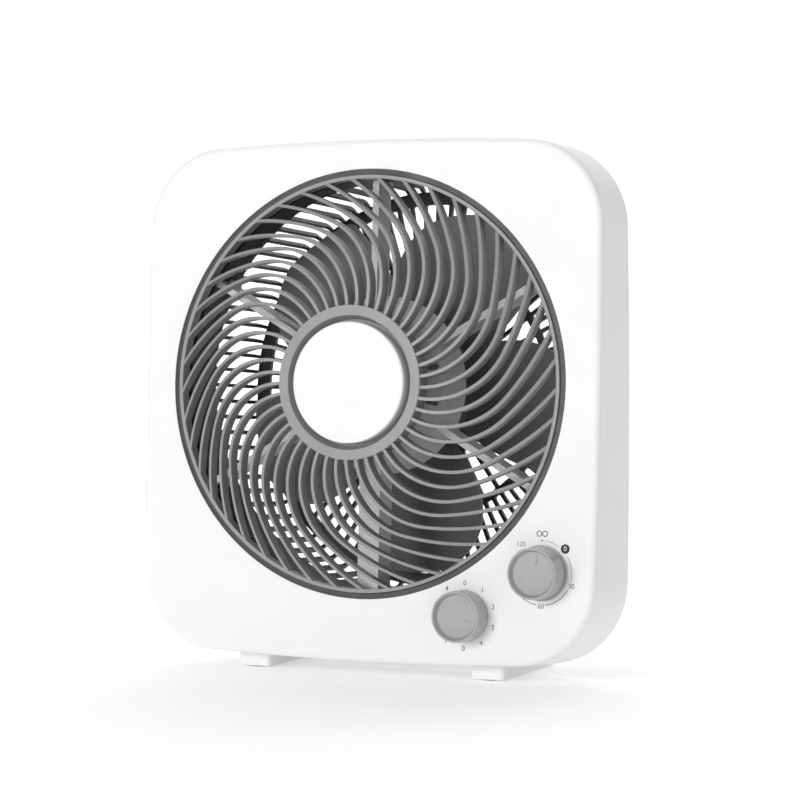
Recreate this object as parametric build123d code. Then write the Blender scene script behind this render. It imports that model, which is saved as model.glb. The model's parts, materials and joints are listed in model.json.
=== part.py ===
"""Box fan with a turning spiral grille, one STEP file for each piece.

Fan frame: x to the right, y up along the front face, z out of the front face, origin at the
centre of the round opening. A depth is measured into the fan from the front face (z = -depth).
The face leans back, so pieces are turned by LEAN into the body frame, which is upright, and at
the end the whole fan is stood on the ground: +Z up, front towards -Y.
"""
import math
import os

from build123d import *

# ---- driving dimensions, millimetres and degrees -------------------------------------------
LEAN = 3.0                 # the front face leans back by this angle
BODY_WIDTH = 337.0
BODY_HEIGHT = 352.0
FACE_BELOW = 10.85         # the middle of the face lies this far below the opening's centre
CORNER_R = 56.0
SIDE_CROWN = 2.4           # outward bow of the left and right edges
TOP_CROWN = 5.9            # outward bow of the top and bottom edges
SHELL_DEPTH = 53.0         # from the opening's centre back to the upright rear rim
SHELL_DRAFT = 2.0          # the side walls open towards the rear
SHELL_WALL = 2.6
FACE_EDGE_R = 3.5
FOOT_DROP = 10.2           # the ground lies this far below the front edge of the body

OPENING_R = 145.0
OPENING_LIP = 12.0
BEZEL_WIDTH = 3.8
BEZEL_WALL = 1.0
BEZEL_DEPTH = 11.0
BEZEL_RIM = 0.2            # depth of the bezel's outer rim
BEZEL_FLOOR = 0.7          # depth of the bezel's flat floor inside the rim
GRILLE_GAP = 0.45          # running gap round the turning grille
GRILLE_RING_WIDTH = 2.4
GRILLE_RING_PROUD = 1.0
GRILLE_RING_DEPTH = 8.0
RIB_COUNT = 45
RIB_THICK = 2.1
RIB_DEPTH = 9.5
RIB_EDGE = 0.4             # a rib's front edge stands this far out at the ring
RIB_REST_ANGLE = 5.2       # turns the first rib to its place
# a rib's start, a point on its inner arc, its knee and its end: how far from the hub's edge to
# the ring's outer edge, and the angle
RIB_LINE = ((-0.018, -40.2), (0.3623, -32.2), (0.6382, -18.2), (0.986, 2.2))
DOME_MIDDLE_R = 98.5
DOME_MIDDLE_PROUD = 17.1
HUB_R = 51.6
HUB_PROUD = 24.2
HUB_RING_WIDTH = 6.6
HUB_DISH_DEPTH = 8.5
HUB_PLATE = 2.6
HUB_BOSS_R = 8.0
HUB_BOSS = 3.6
CAP_GAP = 4.5              # between the cap and the dish's edge
CAP_PROUD = 25.8
CAP_WALL = 2.2
CAP_EDGE_R = 1.2

ARM_COUNT = 6
ARM_REST_ANGLE = 30.0
ARM_WIDTH = 4.5
CHANNEL_ANGLE = 270.0
CHANNEL_WIDTH = 15.5       # the bottom arm is a cable channel
CHANNEL_WALL = 2.0
ARM_FRONT = 13.0           # depth of the arms' front faces
ARM_DEPTH = 20.0
BELL_SLOPE = 17.0          # width of the bell's sloping front
BELL_SHOULDER_DEPTH = 8.0
BELL_TAPER = 4.0           # the bell's side widens by this towards the rear
BELL_ROOM = 15.0           # from the motor's screws out to the bell's rear edge
BELL_FRONT_PROUD = 7.5
BELL_WALL = 2.4
BELL_EDGE_R = 9.0
VENT_ANGLES = (13.5, -13.5, 166.5, 193.5)
VENT_LENGTH = 16.0
VENT_WIDTH = 4.0
DUCT_INSET = 6.0           # the duct is narrower than the opening by this
DUCT_WALL = 2.2
DUCT_EAR = 1.6             # thickness of the duct's ears, held under the bracket's lugs
LUG_OUTSET = 5.0           # the bracket's screws lie this far outside the opening
LUG_THICK = 4.0
LUG_ROOT = 8.0             # length of a lug on the end of its arm

GRILLE_MOTOR_R = 25.0
GRILLE_MOTOR_LENGTH = 13.0
GRILLE_SHAFT_R = 3.0
EAR_SCREW_R = 30.0         # distance of the ear screws from the axis
EAR_THICK = 1.6
EAR_WIDTH = 9.0
STATOR_R = 41.0
STATOR_LENGTH = 25.0
STATOR_FRONT = 17.0        # depth of the laminations' front face
POLE_COUNT = 4
POLE_WIDTH = 14.0
YOKE_WIDTH = 6.5
COIL_THICK = 4.0
COIL_OVERHANG = 4.0
END_BELL_LENGTH = 7.0
END_BELL_WALL = 2.0
MOTOR_SCREW_OUTSET = 5.0   # from the laminations' edge out to the motor screws' axes
MOTOR_LUG_R = 4.5
MOTOR_LUG_THICK = 3.0
ROTOR_R = 21.0
AIR_GAP = 0.35
MAIN_SHAFT_R = 4.0
BEARING_R = 9.0
BEARING_LENGTH = 4.6
RUNNING_FIT = 0.05
THREAD_FIT = 0.05
PANEL_FIT = 0.3

TIP_CLEARANCE = 9.0        # between the duct and the blades' tips
IMPELLER_HUB_R = 42.0
IMPELLER_HUB_LENGTH = 40.0
IMPELLER_BEHIND = 27.0     # from the bracket's rear to the hub's open front edge
IMPELLER_WALL = 2.4
IMPELLER_BOSS_R = 9.0
IMPELLER_BOSS_LENGTH = 16.0
BLADE_COUNT = 5
BLADE_THICK = 2.4
BLADE_RISE = 30.0          # axial height that a blade gains over its sweep
BLADE_SWEEP = 64.0
BLADE_REAR = 1.0           # between the blades' rear edges and the hub's rear
BLADE_REST_ANGLE = 60.0
# the blade's front edge and rear edge: fraction of the tip radius, and degrees from its middle
BLADE_FRONT_EDGE = ((0.59, 36.5), (0.76, 30.5), (0.87, 24.0), (0.946, 16.0), (1.0, 7.0))
BLADE_FRONT_ROOT = 38.0
BLADE_REAR_EDGE = ((1.0, -17.0), (0.7, -23.0))
BLADE_REAR_ROOT = -32.0
BLADE_CORNER_R = 6.0
NUT_R = 10.0
NUT_LENGTH = 8.0

GUARD_OUTSET = 2.0         # the guard's drum is wider than the opening by this
GUARD_BEHIND = 14.0        # from the shaft's rear end to the guard's rear face
GUARD_WALL = 3.4
GUARD_CORNER_R = 11.0
GUARD_DUCT_GAP = 2.0       # between the bracket's rear and the guard's collar
GUARD_CONE_LENGTH = 7.0
GUARD_SLOT_START = 4.0     # the side slots start this far behind the rear panel
GUARD_SLOT_WRAP = 6.0      # and run round onto the rear face this far inside the drum's edge
GUARD_SLOT_CORNER_R = 2.0
GUARD_BARS = 80
GUARD_BAR_WIDTH = 2.6
GUARD_FACE_INSET = 15.0    # from the drum's edge in to the rear slots
GUARD_RING_R = 88.0        # middle ring between the two rows of rear slots
GUARD_RING_WIDTH = 5.0
GUARD_CENTRE_R = 46.0
GUARD_FLANGE_WIDTH = 10.0
GUARD_FLANGE = 2.4
GUARD_SCREWS = 6
PANEL_WALL = 2.6

SPEED_KNOB_AT = (76.7, -152.7)
TIMER_KNOB_AT = (130.7, -122.3)
KNOB_FACE_R = 16.8
KNOB_BASE_R = 17.3
SPEED_KNOB_LENGTH = 15.7
TIMER_KNOB_LENGTH = 18.3
TIMER_SKIRT_R = 18.2
TIMER_SKIRT_LENGTH = 2.2
KNOB_RIM = 1.2
KNOB_RECESS = 3.3
KNOB_DISH_TAPER = 1.6
KNOB_FLOOR = 2.4
KNOB_WALL = 2.0
KNOB_BOSS_R = 6.0
KNOB_GAP = 0.35            # between a knob and the face behind it
POINTER_WIDTH = 0.6
POINTER_CUT = 0.4
POINTER_START = 5.6
POINTER_LENGTH = 4.4
TICK_LENGTH = 2.0
TICK_TURN = 52.0
SPEED_POINTER_ANGLE = -18.0
TIMER_POINTER_ANGLE = 72.0
SPINDLE_R = 3.0
BUSHING_R = 5.0
BUSHING_PROUD = 3.0
SWITCH_NUT_R = 8.0
SWITCH_NUT = 2.2
SWITCH_R = 14.0
SWITCH_LENGTH = 19.0
TIMER_R = 15.0
TIMER_LENGTH = 26.0
TIMER_SCREW_SPAN = 19.5
TIMER_PLATE = 2.0
TIMER_PLATE_WIDTH = 11.0
TIMER_SEAT = 6.0           # depth of the timer's mounting bosses

FOOT_WIDTH = 24.0
FOOT_SPACING = 174.0
FOOT_START = 7.0
FOOT_LENGTH = 98.0
FOOT_THICK = 12.0
FOOT_EDGE_R = 3.0
FOOT_SCREWS = (22.0, 38.0)     # distances of the foot screws behind the foot's front end
FOOT_SCREW_FLOOR = 5.0
FOOT_PADS = (10.0, 88.0)
PAD_R = 7.0
PAD_THICK = 1.6
PAD_PROUD = 0.6

SCREW_R = 1.5
SCREW_HEAD_R = 3.2
SCREW_HEAD = 2.0
SCREW_CLEARANCE = 0.3
BOSS_R = 4.0
PANEL_SCREW_LENGTH = 12.0
BRACKET_SCREW_LENGTH = 14.0
PANEL_SCREWS_AT = ((140, 118), (-140, 118), (140, -150), (-140, -150), (28, -174), (-28, -174))

CORD_AT = (-60.0, -166.0)
CORD_BORE_R = 3.4
CORD_BUSH_R = 6.0
CORD_BUSH_FLANGE_R = 8.5
CORD_BUSH_FLANGE = 2.0
CORD_BUSH_LENGTH = 7.0
TERMINAL_AT = (-60.0, -165.0)
TERMINAL_SIZE = (26.0, 11.0, 14.0)
CAPACITOR_AT = (-103.0, -152.0)
CAPACITOR_SIZE = (34.0, 14.0, 24.0)
WIRE_R = 1.3
WIRE_DEPTH = 24.0          # depth of the wires in the cable channel
WIRE_SIDE = 2.6            # the two wires lie this far from the channel's middle

# ---- sizes that follow from them ------------------------------------------------------------
HALF_W = BODY_WIDTH / 2
HALF_H = BODY_HEIGHT / 2
SIN_LEAN = math.sin(math.radians(LEAN))
COS_LEAN = math.cos(math.radians(LEAN))
BEZEL_INNER_R = OPENING_R - BEZEL_WIDTH
DUCT_R = OPENING_R - DUCT_INSET
LUG_R = OPENING_R + LUG_OUTSET                  # distance of the bracket's screws from the axis
GUARD_R = OPENING_R + GUARD_OUTSET
GUARD_FACE_R = GUARD_R - GUARD_FACE_INSET
IMPELLER_R = DUCT_R - TIP_CLEARANCE
CAP_R = HUB_R - HUB_RING_WIDTH - CAP_GAP
MOTOR_SCREW_R = STATOR_R + MOTOR_SCREW_OUTSET
BELL_REAR_R = MOTOR_SCREW_R + BELL_ROOM
BELL_SHOULDER_R = BELL_REAR_R - BELL_TAPER
BELL_FRONT_R = BELL_SHOULDER_R - BELL_SLOPE
RING_OUTER_R = BEZEL_INNER_R - GRILLE_GAP
RING_INNER_R = RING_OUTER_R - GRILLE_RING_WIDTH
PANEL_FRONT = SHELL_DEPTH - PANEL_WALL
FACE_BOTTOM = -FACE_BELOW - HALF_H
GROUND = FACE_BOTTOM * COS_LEAN - FOOT_DROP
BELL_INSIDE = BELL_WALL - BELL_FRONT_PROUD      # depth of the bell's inner front face
STATOR_REAR = STATOR_FRONT + STATOR_LENGTH
MOTOR_FRONT = STATOR_FRONT - END_BELL_LENGTH
MOTOR_REAR = STATOR_REAR + END_BELL_LENGTH
HUB_FLOOR = HUB_PROUD - HUB_DISH_DEPTH          # how far the dish floor stands out
HUB_BACK = HUB_FLOOR - HUB_PLATE
ARM_REAR = ARM_FRONT + ARM_DEPTH
LUG_FRONT = ARM_REAR - LUG_THICK
BOSS_REAR = LUG_FRONT - DUCT_EAR                # depth of the shell's bosses under the lugs
GUARD_START = ARM_REAR + GUARD_DUCT_GAP
IMPELLER_FRONT = ARM_REAR + IMPELLER_BEHIND
IMPELLER_REAR = IMPELLER_FRONT + IMPELLER_HUB_LENGTH
SHAFT_REAR = IMPELLER_REAR + NUT_LENGTH
GUARD_REAR = SHAFT_REAR + GUARD_BEHIND
GUARD_INNER_R = GUARD_R - GUARD_WALL
BIG = 600.0
DEEP = 90.0                # longer than the body is deep
BASE = (Align.CENTER, Align.CENTER, Align.MIN)

NODES = {}


# ---- helpers --------------------------------------------------------------------------------
def to_body(shape):
    """Turn a shape from the fan frame into the upright body frame."""
    return Rot(90 - LEAN, 0, 0) * shape


def add(name, shape):
    """Keep a finished piece, given in the fan frame, under its node name."""
    NODES[name] = to_body(shape)


def add_upright(name, shape):
    """Keep a finished piece that is given in the body frame."""
    NODES[name] = shape


def depth_at(upright, y):
    """Depth along the fan axis of an upright plane at height y of the fan frame."""
    return (upright - y * SIN_LEAN) / COS_LEAN


def height_at(upright, y):
    """Height in the body frame where a line along the fan axis meets an upright plane."""
    return y * COS_LEAN - depth_at(upright, y) * SIN_LEAN


def disc(radius, front, rear, at=(0, 0)):
    """A cylinder between two depths."""
    return Pos(at[0], at[1], -rear) * Cylinder(radius, rear - front, align=BASE)


def tube(outer, inner, front, rear, at=(0, 0)):
    """A ring between two depths."""
    return disc(outer, front, rear, at) - disc(inner, front - 1, rear + 1, at)


def block(width, height, front, rear, at=(0, 0)):
    """A box between two depths."""
    return Pos(at[0], at[1], -rear) * Box(width, height, rear - front, align=BASE)


def turned(points, corners=(), radius=0):
    """A body of revolution from (radius, depth) points, with rounded corners where named."""
    section = make_face(Polyline(*[(r, 0, -d) for r, d in points], close=True))
    for r, d in corners:
        nearest = section.vertices().sort_by_distance((r, 0, -d))[0]
        section = fillet_vertex(section, nearest, radius)
    return revolve(section, Axis.Z, 360)


def fillet_vertex(face, vertex, radius):
    """Round one corner of a flat face."""
    return face.faces()[0].fillet_2d(radius, [vertex])


def polar(radius, angle):
    """A point at a radius and an angle in degrees."""
    turn = math.radians(angle)
    return (radius * math.cos(turn), radius * math.sin(turn))


def spread(count, first=0.0):
    """Angles of a polar pattern."""
    return [first + 360 * i / count for i in range(count)]


def spin(shape, count, first=0.0):
    """Copies of a shape, drawn at angle 0, round the fan axis."""
    return [Rot(0, 0, angle) * shape for angle in spread(count, first)]


def outline(inset):
    """The body's rounded outline with bowed edges, drawn inwards by an inset."""
    w = HALF_W - inset
    h = HALF_H - inset
    corner_x = w - SIDE_CROWN
    corner_y = h - TOP_CROWN
    right = ThreePointArc((corner_x, -corner_y), (w, 0), (corner_x, corner_y))
    top = ThreePointArc((corner_x, corner_y), (0, h), (-corner_x, corner_y))
    left = ThreePointArc((-corner_x, corner_y), (-w, 0), (-corner_x, -corner_y))
    bottom = ThreePointArc((-corner_x, -corner_y), (0, -h), (corner_x, -corner_y))
    face = make_face([right, top, left, bottom])
    return Pos(0, -FACE_BELOW) * fillet(face.vertices(), CORNER_R - inset)


def body_block(inset, front, rear):
    """The drafted block inside the body outline, between two depths."""
    grow = math.tan(math.radians(SHELL_DRAFT))
    near = Pos(0, 0, -front) * outline(inset - front * grow)
    far = Pos(0, 0, -rear) * outline(inset - rear * grow)
    return loft([near, far], ruled=True)


def slab(front, rear):
    """An upright slab of the body frame between two upright depths."""
    return Pos(0, (front + rear) / 2, 0) * Box(BIG, rear - front, BIG)


def upright_rod(radius, front, rear, x, z):
    """A rod of the body frame that runs from front to back."""
    return Pos(x, rear, z) * Rot(90, 0, 0) * Cylinder(radius, rear - front, align=BASE)


def screw(seat, length, at):
    """A screw along the fan axis: its head lies behind the seat and its shank in front of it."""
    return disc(SCREW_HEAD_R, seat, seat + SCREW_HEAD, at) + disc(SCREW_R, seat - length, seat, at)


def group(shapes):
    """Separate solids in one compound."""
    return Compound([solid for shape in shapes for solid in shape.solids()])


def bushing_hole(at):
    """The hole that a control's bushing goes through."""
    return disc(BUSHING_R + SCREW_CLEARANCE, -1, SHELL_WALL + 1, at)


# ---- body shells ----------------------------------------------------------------------------
def panel_screw_places():
    """Where the rear panel's screws meet its front face, in the body frame."""
    return [(x, height_at(PANEL_FRONT, y)) for x, y in PANEL_SCREWS_AT]


def timer_screw_places():
    """The timer's two screws, on a line across the direction to the fan axis."""
    x, y = TIMER_KNOB_AT
    away = math.hypot(x, y)
    side = (-y / away * TIMER_SCREW_SPAN, x / away * TIMER_SCREW_SPAN)
    return [(x + side[0], y + side[1]), (x - side[0], y - side[1])]


def foot_centres():
    """The x of the left and of the right foot."""
    return {"left": -FOOT_SPACING / 2, "right": FOOT_SPACING / 2}


def foot_screw_rods(radius, low, high):
    """Upright rods on the foot screws' axes."""
    rods = []
    for x in foot_centres().values():
        for behind in FOOT_SCREWS:
            rod = Cylinder(radius, high - low, align=BASE)
            rods.append(Pos(x, FOOT_START + behind, low) * rod)
    return rods


def front_shell():
    outer = body_block(0, 0, DEEP)
    outer = fillet(outer.faces().sort_by(Axis.Z)[-1].edges(), FACE_EDGE_R)
    cavity = body_block(SHELL_WALL, SHELL_WALL, DEEP + 5)
    shell = outer - cavity
    shell += tube(OPENING_R + SHELL_WALL, OPENING_R, SHELL_WALL / 2, OPENING_LIP)
    bosses = [disc(BOSS_R, SHELL_WALL / 2, DEEP - 10, at) for at in PANEL_SCREWS_AT]
    bosses += [disc(BOSS_R, SHELL_WALL / 2, BOSS_REAR, polar(LUG_R, a)) for a in arm_angles()]
    bosses += [disc(BOSS_R, SHELL_WALL / 2, TIMER_SEAT, at) for at in timer_screw_places()]
    shell = shell + bosses
    pilots = [disc(SCREW_R + THREAD_FIT, LUG_FRONT - BRACKET_SCREW_LENGTH, BOSS_REAR + 1,
                   polar(LUG_R, a)) for a in arm_angles()]
    pilots += [disc(SCREW_R + THREAD_FIT, SHELL_WALL / 2, TIMER_SEAT + 1, at)
               for at in timer_screw_places()]
    holes = [disc(OPENING_R, -5, DEEP)]
    holes += [bushing_hole(at) for at in (SPEED_KNOB_AT, TIMER_KNOB_AT)]
    shell = to_body(shell - pilots - holes)
    shell -= slab(SHELL_DEPTH, SHELL_DEPTH + BIG)
    shell -= slab(PANEL_FRONT, SHELL_DEPTH + 1) & to_body(cavity)
    shell -= [upright_rod(SCREW_R + THREAD_FIT, PANEL_FRONT - PANEL_SCREW_LENGTH, PANEL_FRONT + 1,
                          x, z) for x, z in panel_screw_places()]
    shell -= foot_screw_rods(SCREW_R + THREAD_FIT, GROUND, GROUND + 3 * FOOT_THICK)
    add_upright("front_shell", shell)


def bezel_ring():
    outer = OPENING_R - THREAD_FIT
    wall = outer - BEZEL_WALL
    add("bezel_ring", turned([(wall, BEZEL_RIM), (outer, BEZEL_RIM), (outer, BEZEL_DEPTH),
                              (BEZEL_INNER_R, BEZEL_DEPTH), (BEZEL_INNER_R, BEZEL_FLOOR),
                              (wall, BEZEL_FLOOR)]))


def rear_panel():
    panel = to_body(body_block(SHELL_WALL + PANEL_FIT, SHELL_WALL, DEEP))
    panel = panel & slab(PANEL_FRONT, SHELL_DEPTH)
    panel -= to_body(disc(GUARD_R + PANEL_FIT, 0, GUARD_REAR))
    panel -= [upright_rod(SCREW_R + SCREW_CLEARANCE, PANEL_FRONT - 1, SHELL_DEPTH + 1, x, z)
              for x, z in panel_screw_places() + guard_screw_places()]
    x, y = CORD_AT
    panel -= upright_rod(CORD_BUSH_R, PANEL_FRONT - 1, SHELL_DEPTH + 1, x,
                         height_at(PANEL_FRONT, y))
    add_upright("rear_panel", panel)


def panel_screws():
    rods = []
    for x, z in panel_screw_places():
        head = upright_rod(SCREW_HEAD_R, SHELL_DEPTH, SHELL_DEPTH + SCREW_HEAD, x, z)
        shank = upright_rod(SCREW_R, PANEL_FRONT - PANEL_SCREW_LENGTH + 1, SHELL_DEPTH, x, z)
        rods.append(head + shank)
    add_upright("panel_screws", group(rods))


# ---- rear guard -----------------------------------------------------------------------------
def guard_screw_places():
    """The guard's screws, in the body frame, on its flange behind the rear panel."""
    radius = GUARD_R + GUARD_FLANGE_WIDTH / 2
    places = [polar(radius, angle) for angle in spread(GUARD_SCREWS)]
    return [(x, height_at(PANEL_FRONT, y)) for x, y in places]


def guard_side_slot(angle):
    """The cutter of one slot that starts behind the upright panel and runs round the corner."""
    pitch = 2 * math.pi * GUARD_R / GUARD_BARS
    x, y = polar(GUARD_R - GUARD_SLOT_WRAP, angle)
    start = depth_at(SHELL_DEPTH + GUARD_SLOT_START, polar(GUARD_R, angle)[1])
    end = GUARD_REAR + 2 * GUARD_SLOT_CORNER_R
    middle = Plane(origin=(x, y, -(start + end) / 2), x_dir=(0, 0, 1), z_dir=(x, y, 0))
    slot = middle * RectangleRounded(end - start, pitch - GUARD_BAR_WIDTH, GUARD_SLOT_CORNER_R)
    return extrude(slot, 2 * GUARD_SLOT_WRAP)


def guard_rear_slot(inner, outer, count):
    """The cutter of one slot of the guard's rear face, between bars of even width."""
    slope = math.tan(math.pi / count)
    near = inner * slope - GUARD_BAR_WIDTH / 2
    far = outer * slope - GUARD_BAR_WIDTH / 2
    face = make_face(Polyline((inner, -near), (outer, -far), (outer, far), (inner, near), close=True))
    face = fillet(face.vertices(), near * 0.6)
    return extrude(Pos(0, 0, -GUARD_REAR - 1) * face, GUARD_WALL + 2)


def rear_guard():
    cone_end = GUARD_START + GUARD_CONE_LENGTH
    inside = GUARD_REAR - GUARD_WALL
    cavity = [(0, GUARD_START), (DUCT_R, GUARD_START), (GUARD_INNER_R, cone_end),
              (GUARD_INNER_R, inside), (0, inside)]
    hollow = turned(cavity, [(GUARD_INNER_R, inside)], GUARD_CORNER_R - GUARD_WALL)
    hull = turned([(0, GUARD_START), (DUCT_R + GUARD_WALL, GUARD_START), (GUARD_R, cone_end),
                   (GUARD_R, GUARD_REAR), (0, GUARD_REAR)], [(GUARD_R, GUARD_REAR)], GUARD_CORNER_R)
    flange = to_body(disc(GUARD_R + GUARD_FLANGE_WIDTH, 0, GUARD_REAR))
    flange = flange & slab(PANEL_FRONT - GUARD_FLANGE, PANEL_FRONT)
    cutters = [guard_side_slot(angle) for angle in spread(GUARD_BARS, 180 / GUARD_BARS)]
    ring_in = GUARD_RING_R - GUARD_RING_WIDTH / 2
    ring_out = GUARD_RING_R + GUARD_RING_WIDTH / 2
    cutters += spin(guard_rear_slot(ring_out, GUARD_FACE_R, GUARD_BARS), GUARD_BARS,
                    180 / GUARD_BARS)
    cutters += spin(guard_rear_slot(GUARD_CENTRE_R + 4, ring_in, GUARD_BARS // 2),
                    GUARD_BARS // 2, 360 / GUARD_BARS)
    guard = to_body(hull) + flange - to_body(hollow)
    guard -= [to_body(cutter) for cutter in cutters]
    guard -= [upright_rod(SCREW_R + THREAD_FIT, PANEL_FRONT - GUARD_FLANGE - 1, PANEL_FRONT + 1,
                          x, z) for x, z in guard_screw_places()]
    add_upright("rear_guard", guard)
    screws = []
    for x, z in guard_screw_places():
        head = upright_rod(SCREW_HEAD_R, SHELL_DEPTH, SHELL_DEPTH + SCREW_HEAD, x, z)
        shank = upright_rod(SCREW_R, PANEL_FRONT - 2 * GUARD_FLANGE, SHELL_DEPTH, x, z)
        screws.append(head + shank)
    add_upright("guard_screws", group(screws))


# ---- turning grille -------------------------------------------------------------------------
def rib_line():
    """The middle line of one rib, near-radial at the hub and swept over towards the ring."""
    reach = RING_OUTER_R - HUB_R
    start, middle, knee, end = [polar(HUB_R + part * reach, angle) for part, angle in RIB_LINE]
    inner = ThreePointArc(start, middle, knee)
    return [inner, TangentArc(knee, end, tangent=inner % 1)]


def dome_section(drop, edge):
    """The dome's arc from the hub, lowered by a drop, to its height inside the ring."""
    return ThreePointArc((HUB_R - 1, 0, HUB_PROUD - 0.6 - drop),
                         (DOME_MIDDLE_R, 0, DOME_MIDDLE_PROUD - drop),
                         (RING_INNER_R + 1, 0, edge))


def louvre_grille():
    top = dome_section(0, RIB_EDGE)
    bottom = dome_section(RIB_DEPTH, RIB_EDGE - GRILLE_RING_DEPTH)
    band = revolve(make_face([top, bottom, Line(top @ 0, bottom @ 0), Line(top @ 1, bottom @ 1)]),
                   Axis.Z, 360)
    stroke = Pos(0, 0, -RIB_DEPTH - 5) * trace(rib_line(), RIB_THICK)
    rib = extrude(stroke, HUB_PROUD + RIB_DEPTH + 10) & band
    ribs = spin(rib, RIB_COUNT, RIB_REST_ANGLE)
    ring = turned([(RING_INNER_R, 0.2 - GRILLE_RING_PROUD), (RING_INNER_R + 0.8, -GRILLE_RING_PROUD),
                   (RING_OUTER_R, -GRILLE_RING_PROUD), (RING_OUTER_R, GRILLE_RING_DEPTH),
                   (RING_INNER_R, GRILLE_RING_DEPTH)])
    dish_r = HUB_R - HUB_RING_WIDTH
    hub = turned([(0, -HUB_FLOOR), (dish_r - 2.5, -HUB_FLOOR), (dish_r, -HUB_PROUD),
                  (HUB_R, -HUB_PROUD), (HUB_R, -HUB_BACK + RIB_DEPTH / 4),
                  (HUB_R - HUB_PLATE, -HUB_BACK + RIB_DEPTH / 4), (HUB_R - HUB_PLATE, -HUB_BACK),
                  (HUB_BOSS_R, -HUB_BACK), (HUB_BOSS_R, HUB_BOSS - HUB_BACK),
                  (0, HUB_BOSS - HUB_BACK)])
    grille = ring + hub + ribs
    grille -= disc(GRILLE_SHAFT_R, -HUB_PROUD - 1, GRILLE_MOTOR_LENGTH)
    add("louvre_grille", grille)


def hub_cap():
    cap = disc(CAP_R, -CAP_PROUD, -HUB_FLOOR)
    cap = fillet(cap.faces().sort_by(Axis.Z)[-1].edges(), CAP_EDGE_R)
    add("hub_cap", cap - disc(CAP_R - CAP_WALL, CAP_WALL - CAP_PROUD, 0))


def grille_drive():
    """The small geared motor in the bell's nose that turns the grille, and its shaft."""
    rear = BELL_INSIDE + GRILLE_MOTOR_LENGTH
    can = disc(GRILLE_MOTOR_R, BELL_INSIDE, rear)
    can = fillet(can.faces().sort_by(Axis.Z)[0].edges(), 2)
    can += block(2 * EAR_SCREW_R, EAR_WIDTH, BELL_INSIDE, BELL_INSIDE + EAR_THICK)
    ends = [(EAR_SCREW_R, 0), (-EAR_SCREW_R, 0)]
    can = can + [disc(EAR_WIDTH / 2, BELL_INSIDE, BELL_INSIDE + EAR_THICK, at) for at in ends]
    can = can - [disc(SCREW_R + SCREW_CLEARANCE, BELL_INSIDE - 1, BELL_INSIDE + 3, at) for at in ends]
    shaft_end = BELL_INSIDE + GRILLE_MOTOR_LENGTH / 2
    can -= disc(GRILLE_SHAFT_R + RUNNING_FIT, BELL_INSIDE - 1, shaft_end + RUNNING_FIT)
    add("grille_motor", can)
    add("grille_shaft", disc(GRILLE_SHAFT_R, -HUB_FLOOR, shaft_end))
    bolt = disc(HUB_BOSS_R, -HUB_FLOOR - SCREW_HEAD, -HUB_FLOOR)
    add("grille_clip", bolt)
    seat = BELL_INSIDE + EAR_THICK
    add("grille_motor_screws", group([screw(seat, EAR_THICK + BELL_WALL - 0.3, at) for at in ends]))


# ---- bracket with the motor bell ------------------------------------------------------------
def arm_angles():
    return spread(ARM_COUNT, ARM_REST_ANGLE)


def bell_profile(inset):
    """The bell's half section, drawn inwards by an inset, open at the rear."""
    return [(0, inset - BELL_FRONT_PROUD), (BELL_FRONT_R - inset, inset - BELL_FRONT_PROUD),
            (BELL_SHOULDER_R - inset, BELL_SHOULDER_DEPTH), (BELL_REAR_R - inset, ARM_REAR + inset),
            (0, ARM_REAR + inset)]


def bell_solid(inset):
    points = bell_profile(inset)
    return turned(points, points[1:3], BELL_EDGE_R)


def vent():
    """The cutter of one vent on the bell's sloping front, at angle 0."""
    rise = BELL_SHOULDER_R - BELL_FRONT_R
    fall = BELL_SHOULDER_DEPTH + BELL_FRONT_PROUD
    middle = ((BELL_SHOULDER_R + BELL_FRONT_R) / 2, 0, (BELL_FRONT_PROUD - BELL_SHOULDER_DEPTH) / 2)
    plane = Plane(origin=middle, x_dir=(rise, 0, -fall), z_dir=(fall, 0, rise))
    slot = plane * SlotOverall(VENT_LENGTH, VENT_WIDTH)
    return extrude(slot, 3 * BELL_WALL, both=True)


def motor_post_places():
    return [polar(MOTOR_SCREW_R, angle) for angle in spread(4, 45)]


def bracket_holes(low, high):
    """Clearance holes of the bracket's screws between two depths."""
    return [disc(SCREW_R + SCREW_CLEARANCE, low - 1, high + 1, polar(LUG_R, angle))
            for angle in arm_angles()]


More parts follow.
